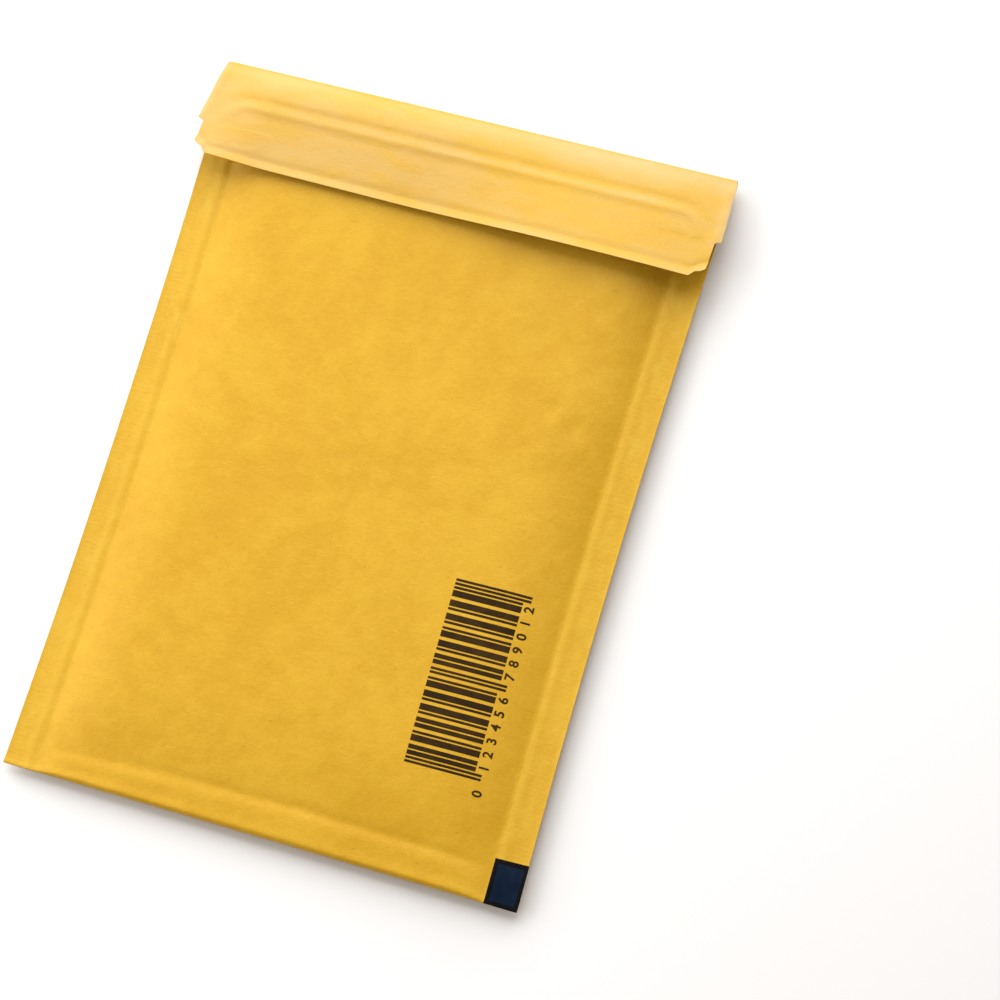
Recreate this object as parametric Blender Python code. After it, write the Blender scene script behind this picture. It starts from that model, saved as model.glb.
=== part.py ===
"""A padded envelope, lying on its back with its flap folded over the front.

One strip of kraft paper runs from the mouth down the front, round the bottom fold, up
the back, past the mouth and over the crease into the flap. Its two sides are welded, front
to back, into flat seams. A folded sheet of bubble film lines the pocket. A strip of glue under
a release liner lies on the inside of the flap.

X runs across the envelope, Y from the bottom fold to the flap's crease and Z up.
The origin is under the middle of it, on the surface that it lies on. Lengths are in metres.
"""

import math

import bmesh
import bpy
from mathutils import Vector

# The envelope as it lies
WIDTH = 0.172
LENGTH = 0.237  # from the bottom fold to the flap's crease
SIDE_BOW = 0.0029  # how far the sides draw in half way up
NECK = 0.013  # from the mouth to the crease

# Kraft paper
PAPER = 0.0003
SEAM = 0.0106  # width of each welded side
PAD_HALF = 0.0041  # from the seams' middle plane up to the front, and down to the back
FRONT_SLOPE = 0.024  # the front rises from a seam over this
BACK_SLOPE = 0.017
BOTTOM_SLOPE = 0.022
FOLD_RADIUS = 0.0017
SWELL = 2.4  # 1 is a straight slope, and more is rounder

# Flap
FLAP = 0.0350  # from the crease to the flap's edge, seen from above
FLAP_LIFT = 0.0050  # the flap isn't stuck down, and its edge stands this much higher than the mouth
CREASE_RADIUS = 0.0009
CREASE_HEIGHT = 0.0046
FLAP_DROOP = 0.0010  # how far the flap's sides hang
DROOP_SPAN = 0.022
STEP_IN = 0.0007  # the flap narrows by this on each side
STEP_AT = 0.0197  # from the crease
STEP_RUN = 0.0012
NICK = 0.0021  # the edge is this much shorter at its two ends
NICK_WIDTH = 0.0058
NICK_RUN = 0.0021
FLAP_CORNER = 0.0014  # and its edge slants back by this to each side

# Glue and its release liner, on the inside of the flap
GLUE_WIDTH = 0.011
GLUE_THICK = 0.0003
GLUE_MARGIN = 0.0055  # from the flap's edge
LINER_OVERHANG = 0.0015
LINER_THICK = 0.0002
LINER_END = 0.009  # from the envelope's side to the liner's end

# Bubble film
BUBBLE_PITCH = 0.0150
BUBBLE_HEIGHT = 0.0026
BUBBLE_SIDE = 0.0022  # run of a bubble's sloping side
FILM = 0.0006
POCKET = 0.0010  # between the two layers of film
LINING_IN = 0.0050  # from a seam to the film's edge
LINING_BOTTOM = 0.0050  # from the bottom fold to the film's fold
LINING_MOUTH = 0.0010  # from the mouth down to the film's ends
LINING_BAND = 0.004  # plain film at its fold

# Clearances
GAP = 0.0003
LINING_CLEAR = 0.0005  # the film's facets and the paper's are not the same

BOTTOM = -LENGTH / 2
CREASE = LENGTH / 2
MOUTH = CREASE - NECK
FLAP_STACK = GAP + LINER_THICK + GAP + GLUE_THICK + GAP
FLAP_TOP = 2 * PAD_HALF + FLAP_STACK + PAPER  # over the mouth

KRAFT = (0.80, 0.49, 0.075, 1)
FILM_COLOUR = (0.78, 0.82, 0.84, 1)
GLUE_COLOUR = (0.86, 0.84, 0.74, 1)
LINER_COLOUR = (0.88, 0.88, 0.85, 1)


def clear_scene():
    for obj in list(bpy.data.objects):
        bpy.data.objects.remove(obj, do_unlink=True)


def material(name, colour, roughness):
    made = bpy.data.materials.new(name)
    made.use_nodes = True
    shader = made.node_tree.nodes["Principled BSDF"]
    shader.inputs["Base Color"].default_value = colour
    shader.inputs["Roughness"].default_value = roughness
    shader.inputs["Metallic"].default_value = 0
    made.diffuse_color = colour
    return made


def swell(run, slope):
    """0 at the foot of a padded slope and 1 from its top on, rising fastest at the foot."""
    part = min(max(run / slope, 0), 1)
    return 1 - (1 - part) ** SWELL


def smooth(part):
    part = min(max(part, 0), 1)
    return part * part * (3 - 2 * part)


def between(start, end, count):
    """count values on the way from start to end, without start."""
    return [start + (end - start) * (k + 1) / count for k in range(count)]


def half_width(y):
    part = (y - BOTTOM) / LENGTH
    return WIDTH / 2 - SIDE_BOW * 4 * part * (1 - part)


def inset(u):
    """Distance from the side, for a place u across, which runs from -1 to 1."""
    return (1 - abs(u)) * WIDTH / 2


def fold_radius(u):
    return PAPER + (FOLD_RADIUS - PAPER) * swell(inset(u) - SEAM, BACK_SLOPE)


def pad_height(u, y, slope):
    """From the middle plane to the outer face of the front or the back."""
    start = fold_radius(u)
    full = PAPER + (PAD_HALF - PAPER) * swell(inset(u) - SEAM, slope)
    return start + (full - start) * swell(y - BOTTOM - start, BOTTOM_SLOPE)


def flap_height(u, depth):
    """Height of the flap's upper face, at a depth from the crease.

    It rises steeply up to the mouth and evenly from there to its edge.
    """
    slope = FLAP_LIFT / (FLAP - NECK)
    crest = FLAP_TOP - FLAP_DROOP * smooth((DROOP_SPAN - inset(u)) / DROOP_SPAN)
    foot = CREASE_HEIGHT + CREASE_RADIUS
    bulge = crest - foot - slope * (NECK - CREASE_RADIUS)
    part = min(max((depth - CREASE_RADIUS) / (NECK - CREASE_RADIUS), 0), 1)
    return foot + slope * (depth - CREASE_RADIUS) + bulge * math.sin(part * math.pi / 2)


def flap_point(u, depth, below):
    """A point on the flap, below its upper face."""
    y = CREASE - depth
    wide = WIDTH / 2 - STEP_IN * smooth((depth - STEP_AT) / STEP_RUN)
    return Vector((u * wide, y, flap_height(u, depth) - below))


def flap_edge(u):
    """Depth of the flap's edge, which is nicked and slants back at its two ends."""
    nick = NICK * smooth((NICK_WIDTH - inset(u)) / NICK_RUN)
    slant = FLAP_CORNER * max(1 - inset(u) / (NICK_WIDTH - NICK_RUN), 0)
    return FLAP - nick - slant


def flap_depths():
    """Depths at which the flap bends or changes width, short of its edge."""
    last = FLAP - 2 * NICK - FLAP_CORNER
    return (
        between(CREASE_RADIUS, NECK, 4)
        + between(NECK, STEP_AT, 2)
        + between(STEP_AT, STEP_AT + STEP_RUN, 2)
        + between(STEP_AT + STEP_RUN, last, 2)
    )


def columns():
    """Places across the envelope, closest where it slopes."""
    places = [0, NICK_WIDTH - NICK_RUN, NICK_WIDTH, SEAM]
    places += [SEAM + FRONT_SLOPE * part for part in (0.08, 0.18, 0.3, 0.45, 0.65, 1)]
    places += between(places[-1], WIDTH / 2, 2)[:1]
    right = [1 - place / (WIDTH / 2) for place in places]
    return [-u for u in right] + [0] + right[::-1]


def panel_parts():
    """Shares of the way from the bottom fold to the mouth, closest at the fold."""
    slope = BOTTOM_SLOPE / (LENGTH - NECK)
    return [slope * part for part in (0, 0.08, 0.18, 0.32, 0.55, 1)] + between(slope, 1, 6)


def paper_line(u, skin):
    """The strip of paper at one place across, from the front's mouth to the flap's edge.

    skin is 0 on the outer face and the paper's thickness on the inner one."""
    radius = fold_radius(u)
    turn = BOTTOM + radius
    ways = [turn + (MOUTH - turn) * part for part in panel_parts()]
    middle = PAD_HALF
    line = []
    for y in reversed(ways):
        line.append((y, middle + pad_height(u, y, FRONT_SLOPE) - skin))
    for degrees in (60, 30, 0, -30, -60):
        angle = math.radians(degrees)
        reach = radius - skin
        line.append((turn - reach * math.cos(angle), middle + reach * math.sin(angle)))
    for y in ways:
        line.append((y, middle - pad_height(u, y, BACK_SLOPE) + skin))
    points = [Vector((u * half_width(y), y, z)) for y, z in line]
    mouth_row = len(points) - 1

    foot = points[-1].z - skin
    arc = CREASE - CREASE_RADIUS
    for y in between(MOUTH, arc, 4):
        rise = smooth((y - MOUTH) / (arc - MOUTH))
        z = foot + (CREASE_HEIGHT - CREASE_RADIUS - foot) * rise + skin
        points.append(Vector((u * half_width(y), y, z)))
    for degrees in (-45, 0, 45, 90):
        angle = math.radians(degrees)
        reach = CREASE_RADIUS - skin
        y = arc + reach * math.cos(angle)
        z = CREASE_HEIGHT + reach * math.sin(angle)
        points.append(Vector((u * half_width(y), y, z)))
    for depth in flap_depths() + [flap_edge(u)]:
        points.append(flap_point(u, depth, skin))
    return points, mouth_row


def finish(bm, name, slot, weld=1e-7):
    """Turn a closed bmesh into a named object."""
    bmesh.ops.remove_doubles(bm, verts=bm.verts[:], dist=weld)
    bmesh.ops.recalc_face_normals(bm, faces=bm.faces[:])
    mesh = bpy.data.meshes.new(name)
    bm.to_mesh(mesh)
    bm.free()
    mesh.materials.append(slot)
    mesh.shade_smooth()
    mesh.set_sharp_from_angle(angle=math.radians(50))
    obj = bpy.data.objects.new(name, mesh)
    bpy.context.scene.collection.objects.link(obj)
    return obj


def kraft_wrapper(slot):
    """Both faces of the strip of paper. The inner faces are left out where the sides are
    welded, so that front and back become one there."""
    bm = bmesh.new()
    places = columns()
    seam_u = 1 - SEAM / (WIDTH / 2) - 1e-6
    skins = []
    for skin in (0, PAPER):
        lines = []
        for u in places:
            points, mouth_row = paper_line(u, skin)
            lines.append([bm.verts.new(point) for point in points])
        skins.append(lines)
    outer, inner = skins
    rows = len(outer[0])
    for k in range(len(places) - 1):
        in_seam = min(abs(places[k]), abs(places[k + 1])) > seam_u
        for lines in skins:
            left, right = lines[k], lines[k + 1]
            for row in range(rows - 1):
                if lines is inner and in_seam and row < mouth_row:
                    continue
                bm.faces.new((left[row], left[row + 1], right[row + 1], right[row]))
        for row in (0, rows - 1):
            bm.faces.new((outer[k][row], outer[k + 1][row], inner[k + 1][row], inner[k][row]))
    for k in (0, len(places) - 1):
        for row in range(rows - 1):
            bm.faces.new((outer[k][row], outer[k][row + 1], inner[k][row + 1], inner[k][row]))
    return finish(bm, "kraft_wrapper", slot)


def film_room(u, y, angle):
    """Half the pocket's gap, and the thickness left for the film."""
    slope = FRONT_SLOPE if angle > 0 else BACK_SLOPE
    room = pad_height(u, y, slope) - PAPER - LINING_CLEAR
    gap = min(POCKET / 2, room / 4)
    return gap, room - gap


def bubble_lining(slot):
    """A flat strip of film in hexagons, each raised into a bubble, then folded to shape."""
    film_half = WIDTH / 2 - SEAM - LINING_IN
    across = 2 * round(2 * film_half / BUBBLE_PITCH)
    spacing = 2 * film_half / across
    top = MOUTH - LINING_MOUTH
    turn = BOTTOM + LINING_BOTTOM
    half = top - turn
    rows = round(half / (BUBBLE_PITCH * math.sqrt(3) / 2))
    step = half / rows

    bm = bmesh.new()

    def boundary(s, sign):
        line = []
        for i in range(across + 1):
            shift = sign * (-1) ** i * step / 6
            line.append(bm.verts.new((i * spacing - film_half, s + shift, 0)))
        return line

    def plain(low, high, i):
        bm.faces.new((low[i], low[i + 1], high[i + 1], high[i]))

    def cells(low, high, first):
        if first == 2:
            plain(low, high, 0)
            plain(low, high, across - 1)
        for i in range(first, across, 2):
            bm.faces.new((*low[i - 1 : i + 2], *high[i - 1 : i + 2][::-1]))

    def half_sheet(start):
        lines = []
        for k in range(rows + 1):
            sign = 0 if k in (0, rows) else (-1) ** k
            lines.append(boundary(start + k * step, sign))
        for k in range(rows):
            cells(lines[k], lines[k + 1], 1 if k % 2 else 2)
        return lines

    front = half_sheet(0)
    band = [front[-1]]
    for s in between(half, half + LINING_BAND, 4)[:-1]:
        band.append(boundary(s, 0))
    back = half_sheet(half + LINING_BAND)
    band.append(back[0])
    for low, high in zip(band, band[1:]):
        for i in range(across):
            plain(low, high, i)

    grown = bmesh.ops.extrude_face_region(bm, geom=bm.faces[:], use_keep_orig=True)["geom"]
    raised = [item for item in grown if isinstance(item, bmesh.types.BMVert)]
    bmesh.ops.translate(bm, verts=raised, vec=(0, 0, FILM))
    lids = [item for item in grown if isinstance(item, bmesh.types.BMFace)]
    bubbles = [face for face in lids if len(face.verts) == 6]
    bmesh.ops.inset_individual(
        bm, faces=bubbles, thickness=BUBBLE_SIDE, depth=BUBBLE_HEIGHT, use_even_offset=True
    )

    for vert in bm.verts:
        x, s, h = vert.co
        u = x / (WIDTH / 2)
        along = min(max((s - half) / LINING_BAND, 0), 1)
        angle = math.pi * (0.5 - along)
        y = top - s if s < half else turn + max(s - half - LINING_BAND, 0)
        y = max(y, turn)
        gap, thick = film_room(u, y, angle)
        reach = gap + thick * h / (FILM + BUBBLE_HEIGHT)
        y -= reach * math.cos(angle)
        vert.co = (u * half_width(y), y, PAD_HALF + reach * math.sin(angle))
    return finish(bm, "bubble_lining", slot)


def flap_strip(name, slot, near, far, below, thick):
    """A strip along the inside of the flap, between two depths from the crease."""
    end = 1 - LINER_END / (WIDTH / 2)
    places = [-end] + [u for u in columns() if abs(u) < end - 1e-3] + [end]
    depths = [near] + [d for d in flap_depths() if near < d < far] + [far]
    bm = bmesh.new()
    grid = [[bm.verts.new(flap_point(u, d, below)) for u in places] for d in depths]
    for low, high in zip(grid, grid[1:]):
        for k in range(len(places) - 1):
            bm.faces.new((low[k], low[k + 1], high[k + 1], high[k]))
    grown = bmesh.ops.extrude_face_region(bm, geom=bm.faces[:], use_keep_orig=True)["geom"]
    lowered = [item for item in grown if isinstance(item, bmesh.types.BMVert)]
    bmesh.ops.translate(bm, verts=lowered, vec=(0, 0, -thick))
    return finish(bm, name, slot)


def build():
    clear_scene()
    kraft_wrapper(material("kraft_paper", KRAFT, 0.6))
    bubble_lining(material("bubble_film", FILM_COLOUR, 0.25))
    far = FLAP - GLUE_MARGIN
    near = far - GLUE_WIDTH
    below = PAPER + GAP
    flap_strip("adhesive_strip", material("glue", GLUE_COLOUR, 0.3), near, far, below, GLUE_THICK)
    flap_strip(
        "release_liner",
        material("liner_paper", LINER_COLOUR, 0.4),
        near - LINER_OVERHANG,
        far + LINER_OVERHANG,
        below + GLUE_THICK + GAP,
        LINER_THICK,
    )


build()
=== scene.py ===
# %% [markdown]
# A padded envelope of gold kraft paper, lying on its back with its flap folded over the front.
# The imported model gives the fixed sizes. This script makes the surfaces that one sees: the
# paper with its pads, creases and print, the bubble film, the glue and its release paper.

# %% Load the frame
import math

import bmesh
import bpy
from mathutils import Matrix, Vector, noise
from mathutils.bvhtree import BVHTree


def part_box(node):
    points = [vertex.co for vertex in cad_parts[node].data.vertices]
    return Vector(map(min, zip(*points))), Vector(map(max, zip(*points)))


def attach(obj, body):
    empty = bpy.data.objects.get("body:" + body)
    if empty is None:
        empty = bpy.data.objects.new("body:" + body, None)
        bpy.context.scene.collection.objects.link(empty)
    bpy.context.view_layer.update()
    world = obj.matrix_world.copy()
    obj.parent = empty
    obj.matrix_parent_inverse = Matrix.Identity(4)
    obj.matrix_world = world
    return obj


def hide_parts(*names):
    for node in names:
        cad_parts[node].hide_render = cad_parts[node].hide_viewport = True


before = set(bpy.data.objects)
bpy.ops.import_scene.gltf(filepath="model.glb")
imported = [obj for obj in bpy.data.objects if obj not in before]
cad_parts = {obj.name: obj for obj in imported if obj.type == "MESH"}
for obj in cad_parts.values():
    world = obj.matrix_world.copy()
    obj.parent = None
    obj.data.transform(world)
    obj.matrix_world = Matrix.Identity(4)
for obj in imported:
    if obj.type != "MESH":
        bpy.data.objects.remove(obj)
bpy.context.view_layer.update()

wrapper_low, wrapper_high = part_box("kraft_wrapper")
WIDTH = wrapper_high.x - wrapper_low.x
LENGTH = wrapper_high.y - wrapper_low.y
HEIGHT = wrapper_high.z
print("envelope", round(WIDTH, 4), round(LENGTH, 4), round(HEIGHT, 4))

# %% [markdown]
# The camera looks down on the envelope from its right-hand side. Its place comes from the
# corners in the photograph. A camera needs a place, a point to aim at and a direction that is
# up in the picture. Here the last is a direction on the table, so that turning it turns the
# picture and nothing else.

# %% Camera
CAMERA_AT = Vector((0.34666, -0.1765, 1.12606))
CAMERA_AIM = Vector((0.04191, 0.00291, 0))
PICTURE_TURN = math.radians(17.308)
LENS = 136.72
SENSOR_WIDTH = 36
NEAREST = 0.05

back = (CAMERA_AT - CAMERA_AIM).normalized()
table_up = Vector((-math.sin(PICTURE_TURN), math.cos(PICTURE_TURN), 0))
right = table_up.cross(back).normalized()
camera_data = bpy.data.cameras.new("camera")
camera_data.lens = LENS
camera_data.sensor_width = SENSOR_WIDTH
camera_data.clip_start = NEAREST
camera = bpy.data.objects.new("camera", camera_data)
bpy.context.scene.collection.objects.link(camera)
camera.rotation_mode = "QUATERNION"
axes = [right, back.cross(right), back]
camera.rotation_quaternion = Matrix([list(row) for row in zip(*axes)]).to_quaternion()
camera.location = CAMERA_AT
bpy.context.scene.camera = camera
print("camera looks down at", round(math.degrees(math.asin(back.z)), 1), "degrees")

# %% [markdown]
# The floor is plain and nearly white, as in a product photograph. One large soft light from
# the upper left draws the soft shadows on the right and below. A weak one at the left and the
# pale world fill them.

# %% Floor and lights
KEY_SIZE = 2.4
KEY_AT = Vector((-0.709, 0.788, 0.920))
KEY_AIM = Vector((-1.2, -2.0, 0.64))
KEY_POWER = 63.0
SIDE_SIZE = 0.8
SIDE_AT = Vector((-0.80, -0.12, 0.50))
SIDE_AIM = Vector((0, 0, 0))
SIDE_POWER = 6.0
SKY = 0.33
SKY_TINT = (1.0, 0.90, 0.78, 1)
FLOOR_TINT = (0.80, 0.80, 0.81, 1)
FLOOR_REACH = 3
FLOOR_ROUGH = 0.9
FLOOR_SHINE = 0.1


def principled(name):
    """A new material, its tree and its shader."""
    made = bpy.data.materials.new(name)
    made.use_nodes = True
    return made, made.node_tree, made.node_tree.nodes["Principled BSDF"]


floor_mesh = bpy.data.meshes.new("floor")
signs = ((-1, -1), (1, -1), (1, 1), (-1, 1))
floor_ring = [(FLOOR_REACH * x, FLOOR_REACH * y, 0) for x, y in signs]
floor_mesh.from_pydata(floor_ring, [], [(0, 1, 2, 3)])
floor = bpy.data.objects.new("floor", floor_mesh)
bpy.context.scene.collection.objects.link(floor)
floor_paint, _, floor_shader = principled("floor_paint")
floor_shader.inputs["Base Color"].default_value = FLOOR_TINT
floor_shader.inputs["Roughness"].default_value = FLOOR_ROUGH
floor_shader.inputs["Specular IOR Level"].default_value = FLOOR_SHINE
floor_mesh.materials.append(floor_paint)

world = bpy.data.worlds.new("studio")
bpy.context.scene.world = world
world.use_nodes = True
world.node_tree.nodes["Background"].inputs["Color"].default_value = SKY_TINT
world.node_tree.nodes["Background"].inputs["Strength"].default_value = SKY


def soft_light(name, size, power, at, aim):
    """A square light panel at one place, turned to face another."""
    panel = bpy.data.lights.new(name, "AREA")
    panel.size = size
    panel.energy = power
    placed = bpy.data.objects.new(name, panel)
    bpy.context.scene.collection.objects.link(placed)
    placed.location = at
    placed.rotation_mode = "QUATERNION"
    placed.rotation_quaternion = (aim - at).to_track_quat("-Z", "Y")


soft_light("key", KEY_SIZE, KEY_POWER, KEY_AT, KEY_AIM)
soft_light("side", SIDE_SIZE, SIDE_POWER, SIDE_AT, SIDE_AIM)
bpy.context.scene.view_settings.view_transform = "Standard"
print("lights", KEY_POWER, SIDE_POWER, "sky", SKY)

# %% [markdown]
# Node trees hold a lot of arithmetic. The class below wraps one output socket, so that Python's
# own operators add the Math nodes. One function adds any other node. The same two work in
# material trees and in Geometry Nodes trees.

# %% Node helpers


class Value:
    """An output socket whose sums and products are Math nodes in its tree."""

    def __init__(self, tree, socket):
        self.tree, self.socket = tree, socket

    def math(self, operation, *others, turned=False):
        """A Math node on this value and others. Turned reverses their order."""
        node = self.tree.nodes.new("ShaderNodeMath")
        node.operation = operation
        terms = [self, *others]
        if turned:
            terms.reverse()
        for socket, term in zip(node.inputs, terms):
            feed(self.tree, socket, term)
        return Value(self.tree, node.outputs[0])

    def __add__(self, other):
        return self.math("ADD", other)

    def __sub__(self, other):
        return self.math("SUBTRACT", other)

    def __rsub__(self, other):
        return self.math("SUBTRACT", other, turned=True)

    def __mul__(self, other):
        return self.math("MULTIPLY", other)

    def __truediv__(self, other):
        return self.math("DIVIDE", other)

    __radd__ = __add__

    def between(self, low, high):
        """0 below low, 1 above high and a smooth rise from one to the other."""
        node = self.tree.nodes.new("ShaderNodeMapRange")
        node.interpolation_type = "SMOOTHSTEP"
        feed(self.tree, node.inputs["Value"], self)
        feed(self.tree, node.inputs["From Min"], low)
        feed(self.tree, node.inputs["From Max"], high)
        return Value(self.tree, node.outputs["Result"])


def feed(tree, socket, term):
    """Link a value to a socket, or set the socket to a plain number or colour."""
    if isinstance(term, Value):
        tree.links.new(term.socket, socket)
    else:
        socket.default_value = term


def add(tree, kind, settings=None, values=None, out=0):
    """Add a node. Settings are its own properties, and values go to its sockets."""
    node = tree.nodes.new(kind)
    for name, setting in (settings or {}).items():
        setattr(node, name, setting)
    for name, term in (values or {}).items():
        feed(tree, node.inputs[name], term)
    return Value(tree, node.outputs[out])


def mixed(tree, share, low, high):
    """A colour between two others."""
    colour = {"data_type": "RGBA"}
    return add(tree, "ShaderNodeMix", colour, {0: share, 6: low, 7: high}, out=2)


def grain(tree, place, scale, detail=2.0, rough=0.5):
    """Soft noise from 0 to 1, at a number of waves to the metre."""
    values = {"Vector": place, "Scale": scale, "Detail": detail, "Roughness": rough}
    return add(tree, "ShaderNodeTexNoise", {}, values)


def stretched(tree, place, scale, turn=(0, 0, 0)):
    """The place with its axes scaled and turned, so that noise on it runs one way."""
    return add(tree, "ShaderNodeMapping", {}, {"Vector": place, "Scale": scale, "Rotation": turn})


def bumped(tree, height, distance, strength=1.0):
    """A normal tilted by small heights. The distance, in metres, is what a height of 1 is."""
    values = {"Height": height, "Distance": distance, "Strength": strength}
    return add(tree, "ShaderNodeBump", {}, values)


print("node helpers ready")

# %% [markdown]
# Kraft paper is a mat of short wood fibres, dyed gold right through. From a step away one
# sees soft clouds where the mat is thicker. Close up there are fibres, a few dark flecks and
# a slight tooth. Noise at several sizes makes these. Two attributes on the paper's points add
# to it. The one called seam says where the sides are welded: a weld has paler, pressed spots
# and a fine crimp from heated bars. The other paints the flap paler: partly wear from handling,
# partly painted sheen and painted highlights where the flap stands up to the light.

# %% Kraft paper
GOLD = (0.570, 0.318, 0.012, 1)
GOLD_PALE = (0.610, 0.354, 0.018, 1)
GOLD_DEEP = (0.530, 0.282, 0.006, 1)
# The flap's two paler colours: partly wear, partly painted sheen and painted highlight.
GOLD_WORN_AND_SHEEN = (0.538, 0.316, 0.041, 1)
GOLD_RUBBED_AND_HIGHLIT = (0.548, 0.370, 0.150, 1)
GOLD_PRESSED = (0.600, 0.362, 0.026, 1)
FLECK = (0.30, 0.12, 0.004, 1)
CLOUDS, PATCHES = 34, 150
FIBRES, CROSS_FIBRES, FLECKS = 520, 460, 800
SMEARS, PRESSED_SPOTS, CRIMP = 46, 230, 210
TOOTH = 0.00022


def kraft():
    made, tree, shader = principled("gold_kraft")
    place = add(tree, "ShaderNodeTexCoord", out="Object")
    cloud = grain(tree, place, CLOUDS, 4, 0.6)
    patch = grain(tree, place, PATCHES, 3, 0.6)
    fibre_place = stretched(tree, place, (1, 3.2, 3.2), (0, 0, 0.35))
    fibre = grain(tree, fibre_place, FIBRES, 4, 0.65)
    cross_place = stretched(tree, place, (3.4, 1, 3.4), (0, 0, -0.2))
    cross = grain(tree, cross_place, CROSS_FIBRES, 4, 0.65)
    tone = cloud * 0.45 + patch * 0.3 + fibre * 0.25
    colour = mixed(tree, tone.between(0.36, 0.66), GOLD_DEEP, GOLD_PALE)
    colour = mixed(tree, 0.2, colour, GOLD)
    fleck_place = stretched(tree, place, (1, 2.6, 2.6), (0, 0, 0.9))
    fleck = grain(tree, fleck_place, FLECKS, 1, 0.4)
    colour = mixed(tree, fleck.between(0.73, 0.8) * 0.5, colour, FLECK)
    # The flap is painted paler: smeared wear, with painted sheen and painted highlights.
    wear_and_sheen = add(tree, "ShaderNodeAttribute", {"attribute_name": "wear_and_sheen"}, out="Fac")
    smear_place = stretched(tree, place, (1, 3.0, 1), (0, 0, 0.12))
    smear = grain(tree, smear_place, SMEARS, 3, 0.6).between(0.32, 0.68)
    worn_and_sheen = wear_and_sheen * 2 * (0.55 + smear * 0.45)
    colour = mixed(tree, worn_and_sheen.math("MINIMUM", 1), colour, GOLD_WORN_AND_SHEEN)
    rubbed_and_highlit = (wear_and_sheen * 2 - 1 + (smear - 0.5) * 0.5 * wear_and_sheen).math("MAXIMUM", 0)
    colour = mixed(tree, rubbed_and_highlit, colour, GOLD_RUBBED_AND_HIGHLIT)
    seam = add(tree, "ShaderNodeAttribute", {"attribute_name": "seam"}, out="Fac")
    pressed_place = stretched(tree, place, (1, 0.45, 1), (0, 0, 0.5))
    pressed = grain(tree, pressed_place, PRESSED_SPOTS, 3, 0.6)
    pale = seam * (0.3 + pressed.between(0.46, 0.70) * 0.6)
    colour = mixed(tree, pale, colour, GOLD_PRESSED)
    feed(tree, shader.inputs["Base Color"], colour)
    feed(tree, shader.inputs["Roughness"], 0.38 + patch * 0.10 + fibre * 0.06)
    shader.inputs["Specular IOR Level"].default_value = 0.24
    crimped = {"Vector": place, "Scale": CRIMP}
    across = add(tree, "ShaderNodeTexWave", {"bands_direction": "Y"}, crimped)
    height = fibre * 0.5 + cross * 0.5 + patch * 1.2 + cloud * 1.5 + across * seam * 0.06
    feed(tree, shader.inputs["Normal"], bumped(tree, height, TOOTH, 0.75))
    return made


kraft_paint = kraft()
print("paper nodes", len(kraft_paint.node_tree.nodes))

# %% [markdown]
# The paper's form follows a rule, so it is worked out and not sculpted. Across it, a place u
# runs from -1 to 1. Along it, one strip runs from the mouth down the front, round the bottom
# fold, up the back, over the crease and down the flap. Air in the lining swells both panels, so
# a slope is steepest at its seam. All lengths are in metres.

# %% Sizes of the paper
PAPER = 0.0003
SEAM = 0.0106
SIDE_BOW = 0.0019  # how far the sides draw in halfway along
NECK = 0.013  # from the mouth to the crease
FLAP_STACK = 0.0014  # the room for glue and release paper between the pad and the flap
FLAP_LIFT = 0.0050  # how far the flap's ends rise on their way to the free edge
PAD_HALF = (HEIGHT - FLAP_LIFT - FLAP_STACK - PAPER) / 2
FRONT_SLOPE = 0.024
BACK_SLOPE = 0.017
BOTTOM_SLOPE = 0.022
FOLD_RADIUS = 0.0017
SWELL = 2.4  # the power by which a slope rises
FLAP = 0.0350
CREASE_RADIUS = 0.0009
CREASE_HEIGHT = 0.0046
BULGE = 2.2  # the power by which the paper bends up from the crease
BOTTOM_CREASE = 0.0116  # where the low band along the bottom ends
BAND_FOOT = 0.006
BAND_RISE = 0.12  # the band's share of the pad's rise
BAND_SLOPE = 0.040
FLAP_DROOP = 0.0009  # how far the flap's two ends hang
DROOP_SPAN = 0.022
RELIEF_ROOM = 0.00036  # the room that the flap's relief needs
LEAN = 0.12  # the middle's share of the ends' lift
STEP_IN = 0.0020  # the flap's sides step in by this
STEP_AT = 0.0219
STEP_RUN = 0.0009
CREASE_WIDER = 0.0006  # the crease is wider than the body
STEP_WIDER = 0.0024
NICK = 0.0021  # the free edge is shorter at both ends
NICK_WIDTH = 0.0047
NICK_RUN = 0.0021
FLAP_CORNER = 0.0014
TOP_CORNER = 0.0005
BOTTOM = wrapper_low.y
CREASE = wrapper_high.y
MOUTH = CREASE - NECK
FLAP_TOP = HEIGHT - FLAP_LIFT


def swell(run, slope):
    """The rise along a slope: steep at its foot, level at its end."""
    part = min(max(run / slope, 0), 1)
    return 1 - (1 - part) ** SWELL


def smooth(part):
    """A rise from 0 to 1 that is level at both ends."""
    part = min(max(part, 0), 1)
    return part * part * (3 - 2 * part)


def bell(distance, width):
    """1 in the middle, fading to nothing on both sides."""
    return math.exp(-((distance / width) ** 2))


def inset(u):
    """How far a place across lies inside the sheet's edge."""
    return (1 - abs(u)) * WIDTH / 2


def half_width(y):
    """From the middle line to the sheet's edge."""
    part = (y - BOTTOM) / LENGTH
    round_off = TOP_CORNER * (1 - smooth((CREASE - y) / 0.0020)) ** 2
    wider = CREASE_WIDER * smooth((y - MOUTH) / NECK)
    return WIDTH / 2 - SIDE_BOW * 4 * part * (1 - part) + wider - round_off


def fold_radius(u):
    """The bottom fold is flat in the seams and round between them."""
    return PAPER + (FOLD_RADIUS - PAPER) * swell(inset(u) - SEAM, BACK_SLOPE)


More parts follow.
